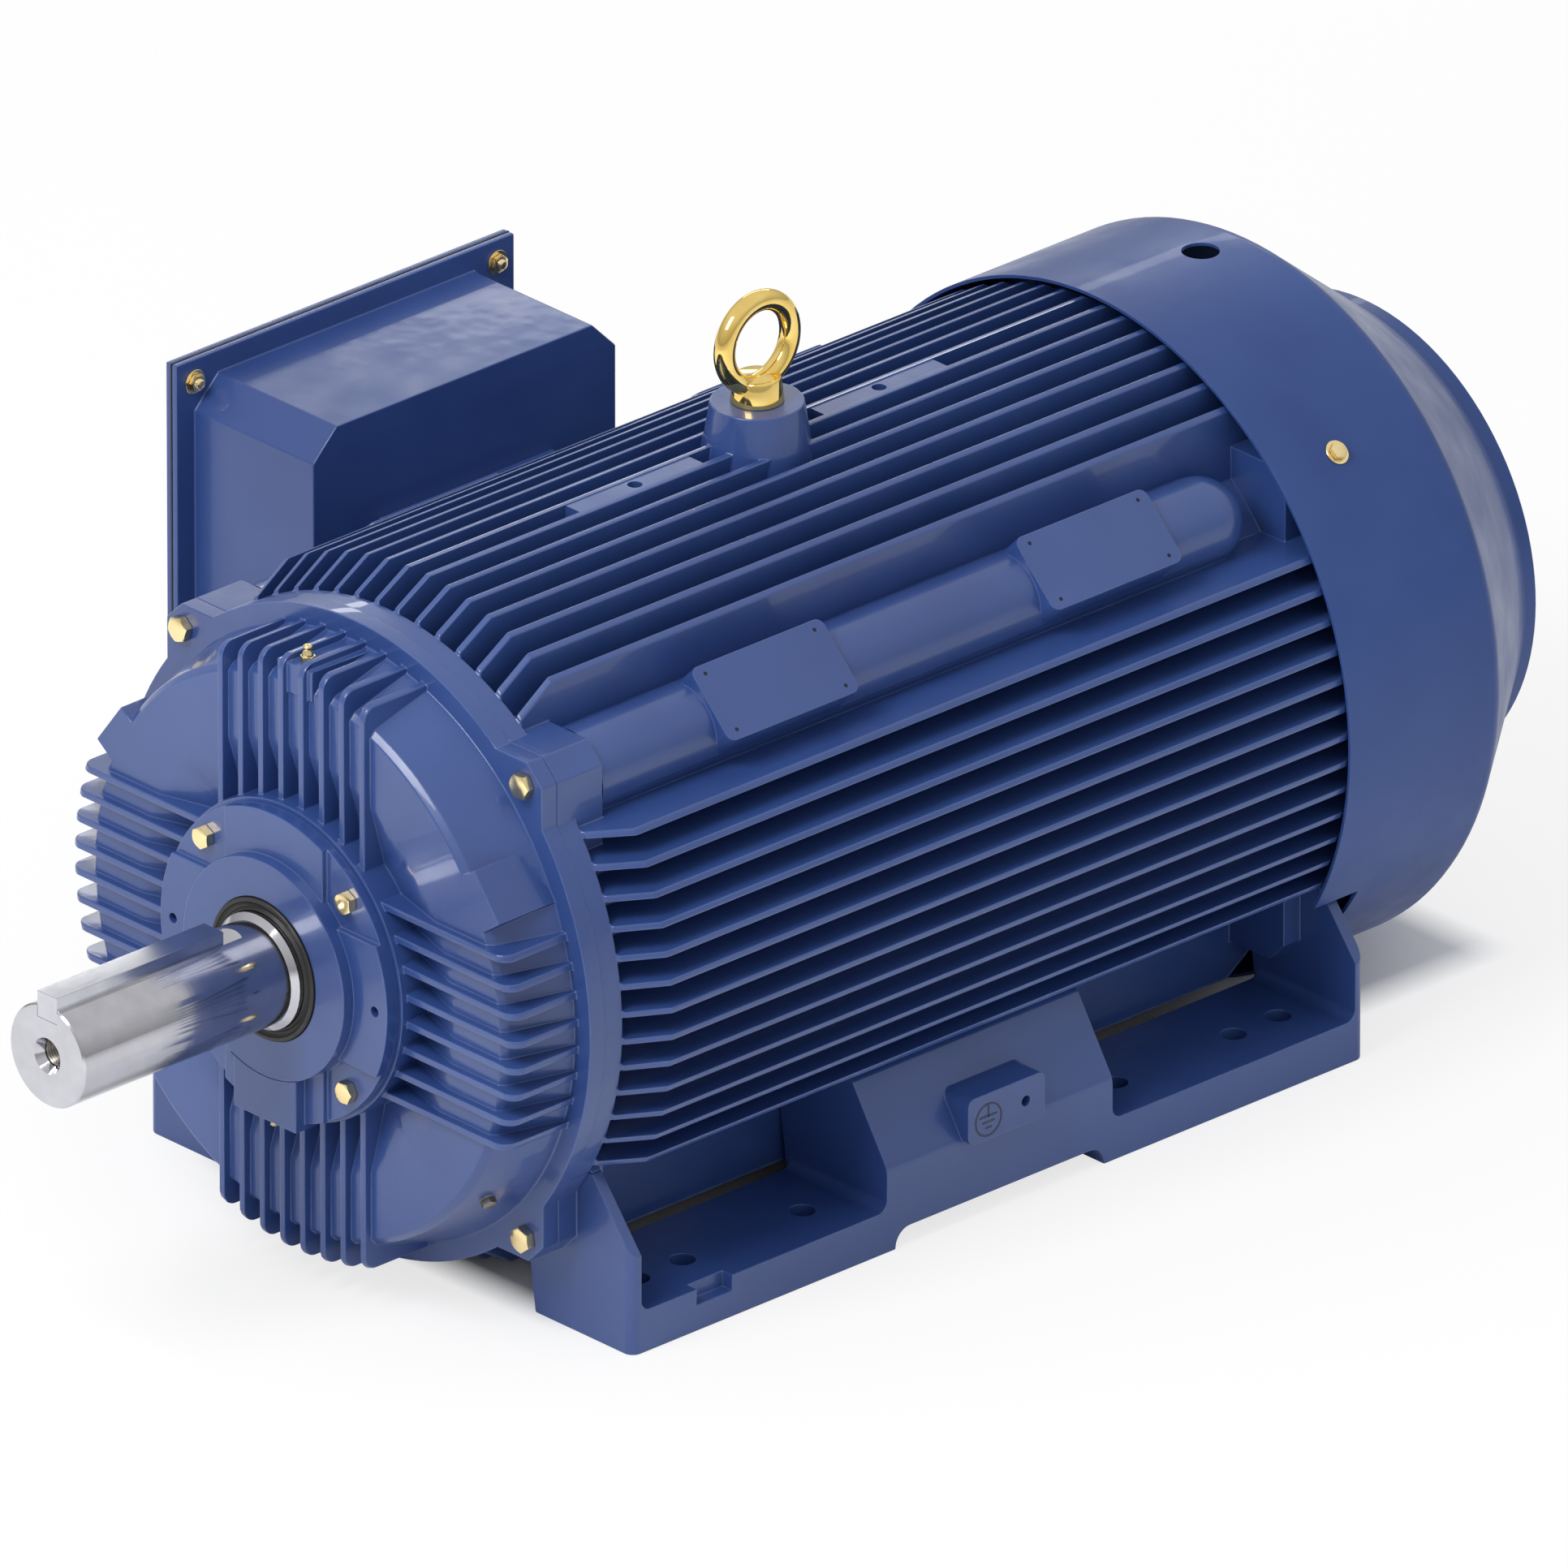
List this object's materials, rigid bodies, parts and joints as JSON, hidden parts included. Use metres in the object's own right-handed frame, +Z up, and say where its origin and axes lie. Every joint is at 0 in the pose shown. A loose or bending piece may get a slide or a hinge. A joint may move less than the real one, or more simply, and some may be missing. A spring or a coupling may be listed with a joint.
{
  "type": "three-phase electric motor",
  "caption": "Foot-mounted, totally enclosed, fan-cooled three-phase motor with a finned casting, keyed shaft, side terminal box and lifting eyebolt.",
  "frame": {"origin": "centre of the foot-bolt pattern on the mounting plane", "axes": "-Y along the shaft extension, away from the motor; +Z up from the feet to the eyebolt; the terminal box is on the -X side"},
  "size_m": [0.7755, 1.397, 0.6896],
  "materials": {
    "blue_paint": "glossy blue enamel over cast iron",
    "yellow_zinc": "yellow zinc plating",
    "machined_steel": "fine turned and ground",
    "bearing_steel": "ground and polished",
    "core_steel": "stacked laminations, varnished",
    "winding_copper": "varnished copper winding",
    "black_rubber": "moulded, satin",
    "black_plastic": "moulded, matt",
    "terminal_plastic": "moulded insulating resin",
    "plate_metal": "blank satin plate",
    "cage_aluminium": "as cast"
  },
  "bodies": {
    "housing": {"frame_casting": "blue_paint", "foot_left": "blue_paint", "foot_right": "blue_paint", "drive_end_shield": "blue_paint", "fan_end_shield": "blue_paint", "drive_end_cap": "blue_paint", "fan_end_cap": "blue_paint", "drive_end_inner_cap": "blue_paint", "fan_end_inner_cap": "blue_paint", "drive_end_outer_race": "bearing_steel", "fan_end_outer_race": "bearing_steel", "preload_spring": "bearing_steel", "stator_core": "core_steel", "drive_end_winding": "winding_copper", "fan_end_winding": "winding_copper", "fan_cover": "blue_paint", "inlet_guard": "blue_paint", "box_neck": "blue_paint", "terminal_box": "blue_paint", "lid_gasket": "black_rubber", "terminal_lid": "blue_paint", "terminal_block": "terminal_plastic", "fan_end_shield_bolts": "yellow_zinc", "fan_end_cap_bolts": "yellow_zinc", "neck_screws": "yellow_zinc", "eyebolt": "yellow_zinc", "drive_end_grease_fitting": "yellow_zinc", "fan_end_grease_fitting": "yellow_zinc", "grease_outlet_plug": "yellow_zinc", "rating_plate": "plate_metal", "drive_end_shield_bolt_1": "yellow_zinc", "drive_end_shield_bolt_2": "yellow_zinc", "drive_end_shield_bolt_3": "yellow_zinc", "drive_end_shield_bolt_4": "yellow_zinc", "drive_end_cap_bolt_1": "yellow_zinc", "drive_end_cap_bolt_2": "yellow_zinc", "drive_end_cap_bolt_3": "yellow_zinc", "drive_end_cap_bolt_4": "yellow_zinc", "cover_bolt_1": "yellow_zinc", "cover_bolt_2": "yellow_zinc", "cover_bolt_3": "yellow_zinc", "cover_bolt_4": "yellow_zinc", "lid_bolt_1": "yellow_zinc", "lid_bolt_2": "yellow_zinc", "lid_bolt_3": "yellow_zinc", "lid_bolt_4": "yellow_zinc"},
    "rotor": {"shaft": "machined_steel", "shaft_key": "machined_steel", "fan_key": "machined_steel", "shaft_seal": "black_rubber", "rotor_core": "core_steel", "drive_end_cage_ring": "cage_aluminium", "fan_end_cage_ring": "cage_aluminium", "drive_end_inner_race": "bearing_steel", "fan_end_inner_race": "bearing_steel", "fan": "black_plastic"},
    "drive_end_balls": {"drive_end_ball_set": "bearing_steel"},
    "fan_end_balls": {"fan_end_ball_set": "bearing_steel"}
  },
  "joints": [
    {"name": "rotor_spin", "type": "hinge", "parent": "housing", "child": "rotor", "pos_m": [0, 0, 0.2794], "axis": [0, 1, 0], "continuous": true},
    {"name": "drive_end_ball_orbit", "type": "hinge", "parent": "housing", "child": "drive_end_balls", "pos_m": [0, 0, 0.2794], "axis": [0, 1, 0], "continuous": true},
    {"name": "fan_end_ball_orbit", "type": "hinge", "parent": "housing", "child": "fan_end_balls", "pos_m": [0, 0, 0.2794], "axis": [0, 1, 0], "continuous": true}
  ],
  "couplings": [
    {"joint": "drive_end_ball_orbit", "follows": "rotor_spin", "ratio": 0.3915},
    {"joint": "fan_end_ball_orbit", "follows": "rotor_spin", "ratio": 0.396}
  ]
}
